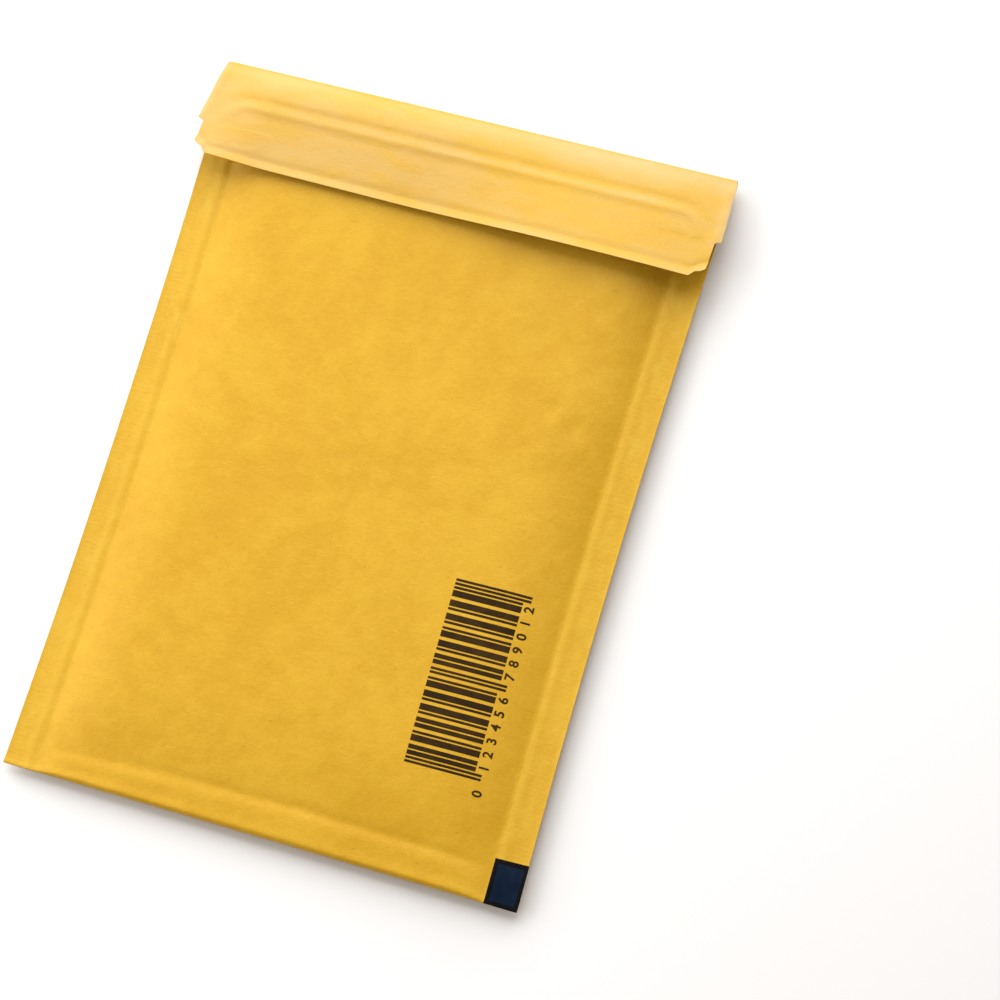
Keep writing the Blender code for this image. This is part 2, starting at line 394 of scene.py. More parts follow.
def pad_height(u, y, slope):
    """From the middle plane of the pad to the paper's outer face."""
    start = fold_radius(u)
    full = PAPER + (PAD_HALF - PAPER) * swell(inset(u) - SEAM, slope)
    foot = y - BOTTOM - start
    rise = swell(foot, BOTTOM_SLOPE)
    if slope == FRONT_SLOPE:
        band = BAND_RISE * swell(foot, BAND_FOOT)
        rise = band + (1 - band) * swell(foot + start - BOTTOM_CREASE, BAND_SLOPE)
    return start + (full - start) * rise


print("pad", round(PAD_HALF * 2000, 2), "mm thick")

# %% [markdown]
# A press, a stack in a box and a hand have all left marks in the paper. Each mark is a small
# change of height: long waves over the pad, puckers where the slope meets a seam, the
# shallow crease above the bottom fold, three dents, and the lip that a cut or folded edge
# keeps. Smooth noise gives the waves, and a bell curve gives a crease or a dent.

# %% Relief of the paper
DENTS = ((0.0515, 0.0335, 0.0060), (0.0600, 0.0280, 0.0085), (0.0590, 0.0690, 0.0090))
DENT_DEEP = 0.00014
LONG_WAVE, LONG_WAVE_HIGH = 0.055, 0.00020
SHORT_WAVE, SHORT_WAVE_HIGH = 0.019, 0.00007
STRIP_WAVE_HIGH = 0.00035
PUCKER, PUCKER_HIGH = 0.012, 0.00017
CREASE_DEEP, CREASE_WIDE = 0.00022, 0.0014
RIDGE_HIGH, RIDGE_WIDE = 0.00010, 0.0018


def waves(x, y, seed, size):
    """Smooth noise from about -1 to 1, over a size in metres."""
    return noise.noise(Vector((x / size, y / size, seed)))


def edge_wave(x, y):
    """The whole side strip rises and falls a little."""
    wave = STRIP_WAVE_HIGH * waves(x * 0.2, y, 4.7, LONG_WAVE)
    return wave * smooth((abs(x) - 0.060) / 0.02)


def front_relief(u, x, y):
    """Waves, puckers, the bottom crease with its ridge, and the dents."""
    run = inset(u) - SEAM
    pad = smooth(run / 0.012)
    foot = y - BOTTOM
    long_wave = LONG_WAVE_HIGH * waves(x, y, 1.3, LONG_WAVE)
    short_wave = SHORT_WAVE_HIGH * waves(x, y, 2.6, SHORT_WAVE)
    total = pad * (long_wave + short_wave)
    pucker = waves(x * 0.3, y, 7.1 + (u > 0), PUCKER) * bell(run - 0.008, 0.0085)
    total += PUCKER_HIGH * pucker * smooth(run / 0.003)
    line = BOTTOM_CREASE - 0.0010 * (x / 0.06 - 0.5) ** 2 + 0.0008 * waves(x, 0, 3.3, 0.03)
    total -= CREASE_DEEP * bell(foot - line, CREASE_WIDE) * pad
    total += RIDGE_HIGH * bell(foot - line + 0.0032, RIDGE_WIDE) * pad
    for dent_x, dent_y, size in DENTS:
        dx, dy = x - dent_x, y - dent_y
        away = math.hypot(dx * 0.6 + dy * 0.8, dx * 1.6 - dy * 1.2)
        total += DENT_DEEP * (bell(away - size, size * 0.7) - 1.6 * bell(away, size * 0.8))
    return total * smooth(foot / 0.004)


print("relief of the front at its middle", round(front_relief(0, 0, 0) * 1e6), "micrometres")

# %% [markdown]
# Each place across gives one line of points along the strip. The same function gives the
# outer face and, with the paper's thickness as its skin, the inner face. Rows stand closer
# together at the bottom fold and on the flap, where the paper bends most. The flap also has
# marks of its own: soft clouds, the ridge where it crosses the mouth, ribs and a lifted edge.

# %% One line of the strip


def spaced(start, end, count):
    """count values on the way from start to end, without start."""
    return [start + (end - start) * (k + 1) / count for k in range(count)]


FINE_FOOT = 0.026
FINE_ROWS = 26
PANEL_ROWS = 84
NECK_ROWS = 9
FLAP_ROWS = (24, 5, 3, 9, 6)
FINE_EDGE = 0.003
FOLD_DEGREES = (75, 60, 45, 30, 15, 0, -15, -30, -45, -60, -75)
CREASE_DEGREES = (-60, -30, 0, 30, 60, 90)
MOUTH_END = 0.0062
MOUTH_BEND = 0.0080
LIP = 0.00016
SEAM_RIB = 0.00024
FOLD_LIP = 0.00024
FLAP_SHORTER = 0.0006
FLAP_SLANT = 0.0009
CLOUD_HIGH, SMALL_CLOUD_HIGH = 0.00015, 0.00007
SIDE_RIB = 0.00022
EDGE_LIFT, EDGE_GROOVE = 0.00040, 0.00026
SIDE_RIPPLE = 0.00025


def rim(u, y):
    """A cut edge stands up a little, and so does the line where a seam begins."""
    side = LIP * max(1 - inset(u) / 0.0013, 0) ** 2
    side += SEAM_RIB * bell(inset(u) - SEAM + 0.0024, 0.0015)
    return side * smooth((MOUTH + 0.004 - y) / 0.004)


def flap_edge(u):
    """From the crease to the free edge, which slants a little and has cut corners."""
    nick = NICK * smooth((NICK_WIDTH - inset(u)) / NICK_RUN)
    slant = FLAP_CORNER * max(1 - inset(u) / (NICK_WIDTH - NICK_RUN), 0) ** 2
    return FLAP - FLAP_SHORTER + FLAP_SLANT * u - nick - slant


def from_mouth(side, depth):
    """How far a place on the flap lies below the mouth's line, which turns down at both ends."""
    middle = MOUTH_END + MOUTH_BEND
    if side > middle:
        return depth - NECK
    if depth > NECK + MOUTH_BEND:
        return side - MOUTH_END
    return MOUTH_BEND - math.hypot(middle - side, NECK + MOUTH_BEND - depth)


def flap_relief(u, x, depth):
    """Clouds, the mouth's ridge pressed through, a rib along each side and a lifted edge."""
    total = CLOUD_HIGH * (1 + waves(x * 0.7, depth, 9.2, 0.017))
    total += SMALL_CLOUD_HIGH * (1 + waves(x, depth, 5.5, 0.008))
    away = from_mouth(inset(u), depth)
    ridge = 0.00022 * bell(away - 0.0019, 0.0012)
    ridge -= 0.00028 * bell(away + 0.0012, 0.0014) + 0.00012 * bell(away - 0.0044, 0.0013)
    near_end = 1 - 0.6 * smooth((0.014 - inset(u)) / 0.006)
    total += ridge * near_end * smooth((0.026 - depth) / 0.008)
    rib = SIDE_RIB * bell(inset(u) - 0.0014, 0.0011)
    total += rib * smooth((STEP_AT + 0.002 - depth) / 0.004)
    total += EDGE_LIFT * smooth((depth - flap_edge(u) + 0.0018) / 0.0018)
    total -= EDGE_GROOVE * bell(depth - flap_edge(u) + 0.0028, 0.0009)
    return total * smooth((depth - CREASE_RADIUS) / 0.004)


def flap_lift(u):
    """The flap's two ends stand up, and its middle leans nearer to the pad."""
    end = max(smooth((u + 0.20) / 0.75), smooth((-u - 0.70) / 0.28))
    return FLAP_LIFT * (LEAN + (1 - LEAN) * end)


def flap_point(u, depth, below):
    """A point on the flap, or below it, at a depth from the crease."""
    y = CREASE - depth
    round_off = TOP_CORNER * (1 - smooth(depth / 0.0020)) ** 2
    wider = (STEP_WIDER - CREASE_WIDER) * min(depth / STEP_AT, 1)
    wide = WIDTH / 2 + CREASE_WIDER + wider - round_off
    wide -= STEP_IN * smooth((depth - STEP_AT) / STEP_RUN)
    ripple = SIDE_RIPPLE * waves(0, depth, 2.2 + (u > 0), 0.006)
    wide += ripple * smooth(depth / 0.006) * smooth(1 - inset(u) / 0.01)
    slope = flap_lift(u) / (FLAP - NECK)
    crest = FLAP_TOP - RELIEF_ROOM - FLAP_DROOP * smooth((DROOP_SPAN - inset(u)) / DROOP_SPAN)
    foot = CREASE_HEIGHT + CREASE_RADIUS
    bulge = crest - foot - slope * (NECK - CREASE_RADIUS)
    part = min(max((depth - CREASE_RADIUS) / (NECK - CREASE_RADIUS), 0), 1)
    z = foot + slope * (depth - CREASE_RADIUS) + bulge * (1 - (1 - part) ** BULGE)
    return Vector((u * wide, y, z + flap_relief(u, u * wide, depth) - below))


def flap_depths(u):
    """Depths along the flap, closer together where it bends or changes width."""
    edge = flap_edge(u)
    stops = [CREASE_RADIUS, NECK + FINE_EDGE, STEP_AT, STEP_AT + STEP_RUN, edge - FINE_EDGE, edge]
    rows = []
    for start, end, count in zip(stops, stops[1:], FLAP_ROWS):
        rows += spaced(start, end, count)
    return rows


def panel_ways(turn):
    """Places along a panel from the bottom fold to the mouth."""
    fine_end = turn + FINE_FOOT
    return [turn] + spaced(turn, fine_end, FINE_ROWS) + spaced(fine_end, MOUTH, PANEL_ROWS)


def paper_line(u, skin):
    """(points from the front's mouth to the flap's edge, the row of the back's mouth)"""
    radius = fold_radius(u)
    turn = BOTTOM + radius
    ways = panel_ways(turn)
    points = []
    for y in reversed(ways):
        x = u * half_width(y)
        lip = FOLD_LIP * bell(y - turn, 0.0012) + rim(u, y)
        z = PAD_HALF + pad_height(u, y, FRONT_SLOPE) + front_relief(u, x, y)
        points.append(Vector((x, y, z + lip + edge_wave(x, y) - skin)))
    x = u * half_width(turn)
    for degrees in FOLD_DEGREES:
        angle = math.radians(degrees)
        reach = radius - skin
        z = PAD_HALF + edge_wave(x, turn) + rim(u, turn) + reach * math.sin(angle)
        z += FOLD_LIP * max(math.sin(angle), 0) ** 2
        points.append(Vector((x, turn - reach * math.cos(angle), z)))
    for y in ways:
        x = u * half_width(y)
        z = PAD_HALF - pad_height(u, y, BACK_SLOPE) + edge_wave(x, y) + rim(u, y)
        points.append(Vector((x, y, z + skin)))
    mouth_row = len(points) - 1
    foot = points[-1].z - skin
    arc = CREASE - CREASE_RADIUS
    for y in spaced(MOUTH, arc, NECK_ROWS):
        rise = smooth((y - MOUTH) / (arc - MOUTH))
        z = foot + (CREASE_HEIGHT - CREASE_RADIUS - foot) * rise + skin
        points.append(Vector((u * half_width(y), y, z)))
    for degrees in CREASE_DEGREES:
        angle = math.radians(degrees)
        reach = CREASE_RADIUS - skin
        y = arc + reach * math.cos(angle)
        points.append(Vector((u * half_width(y), y, CREASE_HEIGHT + reach * math.sin(angle))))
    for depth in flap_depths(u):
        points.append(flap_point(u, depth, skin))
    return points, mouth_row


def across_places():
    """Places u across the sheet, closer together in the seams and on the slopes."""
    steps = ((0, SEAM, 14), (SEAM, SEAM + FRONT_SLOPE, 20), (SEAM + FRONT_SLOPE, WIDTH / 2, 20))
    places = [0.0]
    for start, end, count in steps:
        places += spaced(start, end, count)
    half = [1 - place / (WIDTH / 2) for place in places]
    return [-u for u in half] + half[-2::-1]


print("columns", len(across_places()), "rows", len(paper_line(0, 0)[0]))

# %% [markdown]
# Two faces and their rims close the sheet. Where the sides are welded the inner faces are left
# out, and front and back become one. Every point that two faces share is merged, so that
# the shell is closed and its faces can be turned outwards. The points also carry the two
# attributes that the paper's material reads.

# %% The paper shell


def new_piece(name, bm, paint, sharp=40):
    """A named object from a mesh in work, smooth but for edges over an angle."""
    bmesh.ops.remove_doubles(bm, verts=bm.verts[:], dist=1e-8)
    bmesh.ops.recalc_face_normals(bm, faces=bm.faces[:])
    mesh = bpy.data.meshes.new(name)
    bm.to_mesh(mesh)
    bm.free()
    mesh.materials.append(paint)
    mesh.shade_smooth()
    mesh.set_sharp_from_angle(angle=math.radians(sharp))
    made = bpy.data.objects.new(name, mesh)
    bpy.context.scene.collection.objects.link(made)
    return made


def ride(piece, slot, *nodes):
    """Hang a piece on the root body and hide the imported solids it stands for. The slot is not
    used.
    """
    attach(piece, "root")
    if nodes:
        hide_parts(*nodes)


def sheen_and_wear(u, depth):
    """How pale the flap is painted: half all over for wear and sheen, more where it stands up."""
    side = smooth((u + 0.70) / 1.25)
    crease = (1 - smooth(depth / (NECK * 1.1))) ** 1.5 * (0.08 + 0.66 * side)
    end = (1 - smooth(inset(u) / 0.004)) * (1 - smooth((depth - STEP_AT) / 0.004))
    ridge = bell(from_mouth(inset(u), depth) - 0.0008, 0.0010) * smooth((inset(u) - 0.006) / 0.020)
    lip = smooth((depth - flap_edge(u) + 0.0016) / 0.0012)
    most = max(crease, 0.6 * end, 0.42 * ridge, 0.30 * lip, 0.28 * (1 - side))
    return (0.5 + 0.5 * most) * smooth(depth / CREASE_RADIUS)


def paper_shell():
    bm = bmesh.new()
    seam_mark = bm.verts.layers.float.new("seam")
    sheen_and_wear_mark = bm.verts.layers.float.new("wear_and_sheen")
    places = across_places()
    weld = SEAM + 1e-6
    skins = []
    for skin in (0, PAPER):
        lines = []
        for u in places:
            points, mouth_row = paper_line(u, skin)
            line = [bm.verts.new(point) for point in points]
            for vert in line[: mouth_row + 1]:
                vert[seam_mark] = smooth((weld - inset(u)) / 0.0008 + 0.5)
            # The flap's painted paleness: wear, painted sheen and painted highlights.
            for vert in line[mouth_row:]:
                vert[sheen_and_wear_mark] = sheen_and_wear(u, CREASE - vert.co.y)
            lines.append(line)
        skins.append(lines)
    outer, inner = skins
    last = len(outer[0]) - 1
    for k in range(len(places) - 1):
        in_seam = max(inset(places[k]), inset(places[k + 1])) < weld
        for lines in skins:
            left, right = lines[k], lines[k + 1]
            for row in range(last):
                if lines is inner and in_seam and row < mouth_row:
                    continue
                bm.faces.new((left[row], left[row + 1], right[row + 1], right[row]))
        for row in (0, last):
            bm.faces.new((outer[k][row], outer[k + 1][row], inner[k + 1][row], inner[k][row]))
    for k in (0, len(places) - 1):
        for row in range(last):
            bm.faces.new((outer[k][row], outer[k][row + 1], inner[k][row + 1], inner[k][row]))
    return new_piece("kraft_paper", bm, kraft_paint, 50)


paper = paper_shell()
ride(paper, "kraft_paper", "kraft_wrapper")
print("paper faces", len(paper.data.polygons))

# %% [markdown]
# Ink lies on the paper and follows all its waves. So each printed shape starts as a flat, fine
# grid. Every point of it is dropped onto the finished paper. The layer's upper side stands a
# few hundredths of a millimetre above the paper, and its lower side is sunk as deep, so that
# no gap shows. A press doesn't cover paper perfectly: small spots stay bare, most of all along
# the fibres.

# %% Ink
INK_HALF = 0.00003
paper_tree = BVHTree.FromObject(paper, bpy.context.evaluated_depsgraph_get())


def ink(name, dark, light, gaps):
    made, tree, shader = principled(name)
    place = add(tree, "ShaderNodeTexCoord", out="Object")
    spot = grain(tree, stretched(tree, place, (1, 2.4, 2.4), (0, 0, 0.35)), 900, 4, 0.7)
    cloud = grain(tree, place, 120, 3, 0.6)
    colour = mixed(tree, cloud.between(0.35, 0.7), dark, light)
    colour = mixed(tree, spot.between(gaps, gaps + 0.1) * 0.7, colour, GOLD_DEEP)
    feed(tree, shader.inputs["Base Color"], colour)
    feed(tree, shader.inputs["Roughness"], 0.6 + spot * 0.2)
    shader.inputs["Specular IOR Level"].default_value = 0.06
    feed(tree, shader.inputs["Normal"], bumped(tree, spot + cloud * 2, 0.0001, 0.5))
    return made


bar_paint = ink("barcode_ink", (0.026, 0.014, 0.004, 1), (0.046, 0.024, 0.006, 1), 0.68)
mark_paint = ink("navy_ink", (0.002, 0.008, 0.022, 1), (0.005, 0.014, 0.032, 1), 0.82)
rim_paint = ink("black_ink", (0.002, 0.002, 0.003, 1), (0.005, 0.004, 0.005, 1), 0.82)


def drop(point, lift):
    """The point on the paper's upper face, below or above this one."""
    hit = paper_tree.ray_cast(Vector((point.x, point.y, HEIGHT + 0.01)), Vector((0, 0, -1)))[0]
    return Vector((point.x, point.y, hit.z + lift))


def lay_ink(bm):
    """Give a flat shape its thickness and lay it on the paper. Returns the upper points."""
    grown = bmesh.ops.extrude_face_region(bm, geom=bm.faces[:], use_keep_orig=True)["geom"]
    raised = {item for item in grown if isinstance(item, bmesh.types.BMVert)}
    for vert in bm.verts:
        vert.co = drop(vert.co, INK_HALF if vert in raised else -INK_HALF)
    return raised


print("ink layer", round(INK_HALF * 2e6), "micrometres")

# %% [markdown]
# The barcode is laid out like a retail code: twelve cells of seven steps, two bars in each, and
# long guard bars at both ends and in the middle. How wide the bars are is drawn by chance from
# a fixed seed, so that it isn't the code of any product. Geometry Nodes works out where each of
# the thirty bars goes and puts one flat strip there.

# %% Barcode bars
BAR_START = Vector((0.0388, -0.0547, 0))
CODE_LENGTH = 0.0585
STEPS = 95
STEP = CODE_LENGTH / STEPS
BAR_LENGTH = 0.0224
GUARD_LENGTH = 0.0247
CODE_LEAN = math.radians(1.0)
CELL_STEPS = 7
SIDE_GUARD = 3
MIDDLE_GUARD = 5
DIGIT_BARS = 24
GUARD_BARS = 6
LAST_LEFT_CELL = 5
BAR_POINTS = {"Vertices X": 25, "Vertices Y": 3}
BAR_SEED = 5
CELL_INK = 4
INK_SPREAD = 0.30


def bar_nodes():
    """Thirty bars on a line of points along Y: two in each of twelve cells, and six guards."""
    tree = bpy.data.node_groups.new("bars", "GeometryNodeTree")
    face = tree.interface
    for name, kind in (("Step", "Float"), ("Bar", "Float"), ("Guard", "Float"), ("Seed", "Int")):
        face.new_socket(name, in_out="INPUT", socket_type="NodeSocket" + kind)
    face.new_socket("Geometry", in_out="OUTPUT", socket_type="NodeSocketGeometry")
    entry = tree.nodes.new("NodeGroupInput")
    given = {socket.name: Value(tree, socket) for socket in entry.outputs if socket.name}
    index = add(tree, "GeometryNodeInputIndex")
    cell = (index * 0.5).math("FLOOR")
    second = index.math("MODULO", 2)

    drawn = tree.nodes.new("FunctionNodeRandomValue")
    drawn.data_type = "INT"
    sockets = {socket.name: socket for socket in drawn.inputs if socket.enabled}
    for name, term in (("Min", 1), ("Max", CELL_INK - 1), ("ID", cell), ("Seed", given["Seed"])):
        feed(tree, sockets[name], term)
    first_wide = Value(tree, next(socket for socket in drawn.outputs if socket.enabled))
    second_wide = CELL_INK - first_wide
    is_guard = index.math("GREATER_THAN", DIGIT_BARS - 0.5)
    late = cell.math("GREATER_THAN", LAST_LEFT_CELL + 0.5) * MIDDLE_GUARD
    digit_at = cell * CELL_STEPS + SIDE_GUARD + late + 1 + second * (first_wide + 1)
    guard_at = (cell - DIGIT_BARS / 2) * ((STEPS - SIDE_GUARD) / 2) + second * 2
    at = digit_at + is_guard * (guard_at - digit_at)
    wide = first_wide + second * (second_wide - first_wide)
    wide = wide + is_guard * (1 - wide) + INK_SPREAD
    long = given["Bar"] + is_guard * (given["Guard"] - given["Bar"])
    where = add(tree, "ShaderNodeCombineXYZ", {}, {"Y": (at - INK_SPREAD / 2) * given["Step"]})
    points = {"Count": DIGIT_BARS + GUARD_BARS, "Position": where}
    line = add(tree, "GeometryNodePoints", {}, points)
    strip = {"Size X": 1.0, "Size Y": 1.0, **BAR_POINTS}
    grid = add(tree, "GeometryNodeMeshGrid", {}, strip)
    corner = {"Geometry": grid, "Translation": (0.5, 0.5, 0)}
    moved = add(tree, "GeometryNodeTransform", {}, corner)
    size = add(tree, "ShaderNodeCombineXYZ", {}, {"X": long, "Y": wide * given["Step"], "Z": 1.0})
    placed = {"Points": line, "Instance": moved, "Scale": size}
    bars = add(tree, "GeometryNodeInstanceOnPoints", {}, placed)
    real = add(tree, "GeometryNodeRealizeInstances", {}, {"Geometry": bars})
    done = add(tree, "GeometryNodeSetMaterial", {}, {"Geometry": real, "Material": bar_paint})
    leave = tree.nodes.new("NodeGroupOutput")
    feed(tree, leave.inputs["Geometry"], done)
    return tree


def made_by(tree, name, inputs):
    """The mesh that a Geometry Nodes tree makes, with the tree's named inputs given."""
    mesh = bpy.data.meshes.new(name)
    holder = bpy.data.objects.new(name, mesh)
    bpy.context.scene.collection.objects.link(holder)
    modifier = holder.modifiers.new("nodes", "NODES")
    modifier.node_group = tree
    for item in tree.interface.items_tree:
        if item.in_out == "INPUT" and item.name in inputs:
            modifier[item.identifier] = inputs[item.name]
    ready = holder.evaluated_get(bpy.context.evaluated_depsgraph_get())
    result = bpy.data.meshes.new_from_object(ready)
    bpy.data.objects.remove(holder)
    return result


def bmesh_of(mesh):
    """A mesh in work, in place of a finished one."""
    bm = bmesh.new()
    bm.from_mesh(mesh)
    bpy.data.meshes.remove(mesh)
    return bm


def place_code(point):
    """From the code's own flat frame, bars along X and steps along Y, to the table's."""
    turned = Matrix.Rotation(CODE_LEAN, 3, "Z") @ Vector((point.x, point.y - CODE_LENGTH / 2, 0))
    return turned + BAR_START


bar_inputs = {"Step": STEP, "Bar": BAR_LENGTH, "Guard": GUARD_LENGTH, "Seed": BAR_SEED}
bars = bmesh_of(made_by(bar_nodes(), "bars", bar_inputs))
for vert in bars.verts:
    vert.co = place_code(vert.co)
lay_ink(bars)
barcode_bars = new_piece("barcode_bars", bars, bar_paint)
ride(barcode_bars, "printing_ink")
print("bar faces", len(barcode_bars.data.polygons))

# %% [markdown]
# The digits stand beside the bars and read along them. They only count up, so they name
# nothing. A text object gives their outlines. Made a mesh, cut into small faces and dropped on
# the paper, they follow it like the bars.

# %% Barcode digits
DIGIT_HIGH = 0.0030
DIGIT_LEFT = 0.0231
DIGIT_CUT = 0.0004
DIGIT_BOLD = 0.026
DIGIT_CURVE = 5
DIGIT_GROUPS = (("0", -0.0040), ("123456", 6.5 * STEP), ("789012", 53.5 * STEP))


def digit_outline(text, middle):
    """The flat mesh of one digit, of the digits' height, centred on a place along the code."""
    curve = bpy.data.curves.new("digit", "FONT")
    curve.body = text
    curve.align_x = "CENTER"
    curve.resolution_u = DIGIT_CURVE
    curve.offset = DIGIT_BOLD
    holder = bpy.data.objects.new("digit", curve)
    bpy.context.scene.collection.objects.link(holder)
    ready = holder.evaluated_get(bpy.context.evaluated_depsgraph_get())
    mesh = bpy.data.meshes.new_from_object(ready)
    bpy.data.objects.remove(holder)
    high = max(vert.co.y for vert in mesh.vertices)
    size = DIGIT_HIGH / high
    mesh.transform(Matrix.Translation((middle, 0, 0)) @ Matrix.Scale(size, 4))
    return mesh


def cut_up(bm, pitch):
    """Cut a flat shape along a grid of lines, so that it can follow a curved surface."""
    bmesh.ops.triangulate(bm, faces=bm.faces[:])
    for axis in (0, 1):
        low = min(vert.co[axis] for vert in bm.verts)
        high = max(vert.co[axis] for vert in bm.verts)
        normal = Vector((1 - axis, axis, 0))
        for k in range(1, math.ceil((high - low) / pitch)):
            whole = bm.verts[:] + bm.edges[:] + bm.faces[:]
            cut = normal * (low + k * pitch)
            bmesh.ops.bisect_plane(bm, geom=whole, plane_co=cut, plane_no=normal)


digits = bmesh.new()
for group, first in DIGIT_GROUPS:
    for k, text in enumerate(group):
        mesh = digit_outline(text, first + k * CELL_STEPS * STEP)
        digits.from_mesh(mesh)
        bpy.data.meshes.remove(mesh)
bmesh.ops.remove_doubles(digits, verts=digits.verts[:], dist=1e-7)
cut_up(digits, DIGIT_CUT)
for vert in digits.verts:
    vert.co = place_code(Vector((DIGIT_LEFT + DIGIT_HIGH - vert.co.y, vert.co.x, 0)))
bmesh.ops.recalc_face_normals(digits, faces=digits.faces[:])
lay_ink(digits)
barcode_digits = new_piece("barcode_digits", digits, bar_paint)
ride(barcode_digits, "printing_ink")
print("digit faces", len(barcode_digits.data.polygons))

# %% [markdown]
# The corner carries a small dark panel, printed in navy with a thin black rim. It runs over the
# welded seam down to the bottom fold and wraps round both edges of the paper. It is one grid of
# points between four corners, finer in the rim.

# %% Corner mark
MARK_CORNERS = ((0.0749, -0.1044), (0.0862, -0.1040), (0.0862, -0.1187), (0.0753, -0.1187))
MARK_CELLS = 40
RIM_CELLS = 10
MARK_RIM = 0.0015
MARK_EDGE = 0.00005
MARK_WRAP = 0.00060


def wrap_edges(bm, raised):
    """Take the ink over the paper's own edges and down them."""
    for vert in bm.verts:
        at_side = vert.co.x > half_width(vert.co.y) - 2 * MARK_EDGE
        at_bottom = vert.co.y < BOTTOM + 2 * MARK_EDGE
        vert.co.x += 2 * MARK_EDGE * at_side
        vert.co.y -= 2 * MARK_EDGE * at_bottom
        if (at_side or at_bottom) and vert not in raised:
            vert.co.z -= MARK_WRAP


def mark_ways(edge):
    """Shares of the way across the mark, with a fine rim at both ends."""
    first, last = spaced(0, edge, RIM_CELLS), spaced(1 - edge, 1, RIM_CELLS)
    return [0.0] + first + spaced(edge, 1 - edge, MARK_CELLS) + last


def corner_mark():
    a, b, c, d = (Vector((*corner, 0)) for corner in MARK_CORNERS)
    bm = bmesh.new()
    rows = []
    edge_u = MARK_RIM / (b - a).length
    edge_v = MARK_RIM / (d - a).length
    ways_u, ways_v = mark_ways(edge_u), mark_ways(edge_v)
    for v in ways_v:
        left, right = a.lerp(d, v), b.lerp(c, v)
        rows.append([bm.verts.new(left.lerp(right, u)) for u in ways_u])
    inside = range(RIM_CELLS, RIM_CELLS + MARK_CELLS)
    for j, (low, high) in enumerate(zip(rows, rows[1:])):
        for i in range(len(ways_u) - 1):
            face = bm.faces.new((low[i], high[i], high[i + 1], low[i + 1]))
            face.material_index = int(i not in inside or j not in inside)
    for vert in bm.verts:
        vert.co.y = max(vert.co.y, BOTTOM + MARK_EDGE)
        vert.co.x = min(vert.co.x, half_width(vert.co.y) - MARK_EDGE)
    wrap_edges(bm, lay_ink(bm))
    made = new_piece("corner_mark", bm, mark_paint)
    made.data.materials.append(rim_paint)
    return made


mark = corner_mark()
ride(mark, "printing_ink")
print("mark faces", len(mark.data.polygons))

# %% [markdown]
# The lining is bubble film: a flat film with a second film on it, drawn into round cells
# full of air. One sheet goes down the front, round the bottom and up the back, with its bubbles
# outwards. Geometry Nodes lays the flat sheet out in rows, each shifted by half a pitch. Then
# every point goes to its place in the folded pocket.

# %% Bubble film
BUBBLE_ACROSS = 13
BUBBLE_HALF_ROWS = 20
BUBBLE_WIDE = 0.0100
FILM = 0.00025
FILM_TOP = 0.0030
POCKET = 0.001
LINING_IN = 0.005
LINING_BOTTOM = 0.005
LINING_MOUTH = 0.001
LINING_BAND = 0.004
LINING_CLEAR = 0.0005
FILM_ROWS, FILM_BAND_ROWS, FILM_COLUMNS = 90, 8, 64
BALL_SEGMENTS, BALL_RINGS = 14, 8
film_half = WIDTH / 2 - SEAM - LINING_IN
film_top = MOUTH - LINING_MOUTH
film_turn = BOTTOM + LINING_BOTTOM
half_run = film_top - film_turn


def milky_film():
    made, tree, shader = principled("milky_film")
    place = add(tree, "ShaderNodeTexCoord", out="Object")
    cloud = grain(tree, place, 60, 3, 0.6)
    scratch = grain(tree, stretched(tree, place, (1, 6, 1), (0, 0, 0.5)), 300, 3, 0.6)
    colour = mixed(tree, cloud, (0.70, 0.75, 0.78, 1), (0.84, 0.88, 0.90, 1))
    feed(tree, shader.inputs["Base Color"], colour)
    feed(tree, shader.inputs["Roughness"], 0.14 + scratch * 0.16)
    feed(tree, shader.inputs["Alpha"], 0.50 + cloud * 0.2)
    shader.inputs["IOR"].default_value = 1.5
    feed(tree, shader.inputs["Normal"], bumped(tree, scratch, 0.0001, 0.4))
    return made


film_paint = milky_film()


